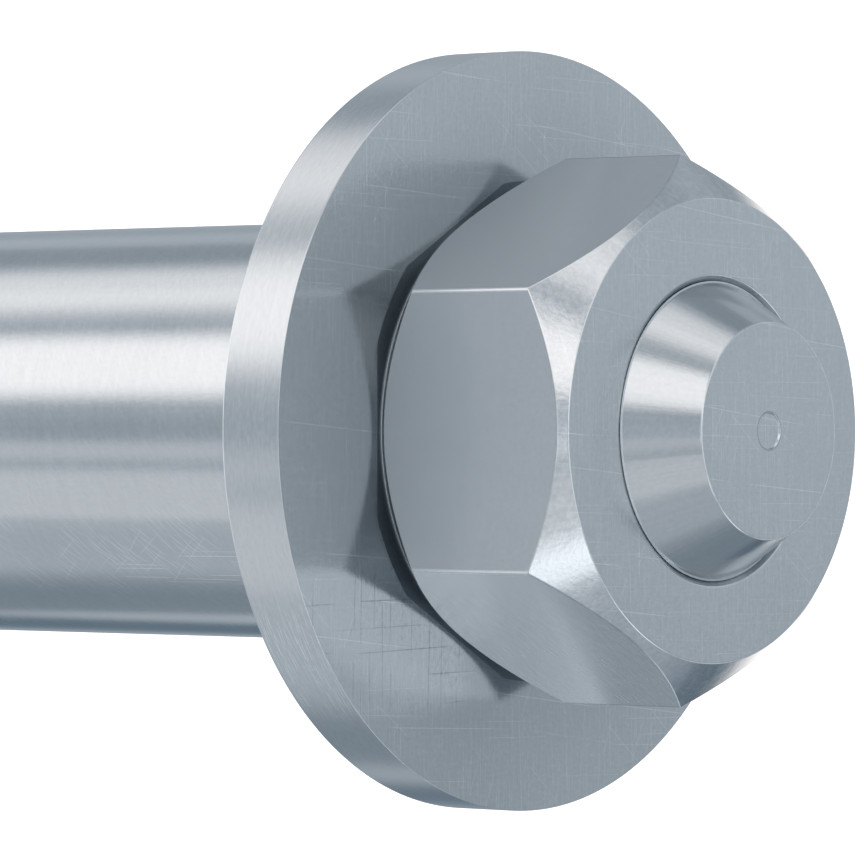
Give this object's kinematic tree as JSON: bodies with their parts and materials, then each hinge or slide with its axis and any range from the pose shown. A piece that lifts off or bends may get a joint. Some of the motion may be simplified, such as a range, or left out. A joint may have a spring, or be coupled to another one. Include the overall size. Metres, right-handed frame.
{
  "type": "sleeve anchor",
  "caption": "Heavy-duty sleeve anchor, stud type: threaded stud with hex nut, washer, spacer sleeve, crush ring, slotted expansion sleeve and cone nut.",
  "frame": {"origin": "centre of the cone nut's flat lower end, on which the anchor stands", "axes": "+Z along the stud from the cone nut to the tip above the hexagon nut; +X towards a corner of the nut; +Y square to one of its flats"},
  "size_m": [0.021, 0.021, 0.0882],
  "materials": {
    "stud_steel": "bright zinc plated, turned",
    "cone_steel": "bright zinc plated, turned",
    "sleeve_steel": "bright zinc plated, drawn tube with fine scratches",
    "washer_steel": "bright zinc plated, finely brushed",
    "nut_steel": "bright zinc plated, finely brushed",
    "ring_plastic": "moulded, matt"
  },
  "bodies": {
    "stud_and_cone": {"stud": "stud_steel", "cone_nut": "cone_steel"},
    "sleeve_stack": {"washer": "washer_steel", "spacer_sleeve": "sleeve_steel", "crush_ring": "ring_plastic", "expansion_sleeve": "sleeve_steel"},
    "nut": {"hex_nut": "nut_steel"}
  },
  "joints": [
    {"name": "sleeve_slide", "type": "slide", "parent": "stud_and_cone", "child": "sleeve_stack", "axis": [0, 0, 1], "range_m": [-0.00375, 0.00625], "deforming": ["expansion_sleeve"]},
    {"name": "nut_turn", "type": "hinge", "parent": "sleeve_stack", "child": "nut", "pos_m": [0, 0, 0.08], "axis": [0, 0, 1], "range_deg": [-1081, 1801]}
  ],
  "couplings": [
    {"joint": "nut_turn", "follows": "sleeve_slide", "rad_per_m": 5026.5}
  ]
}
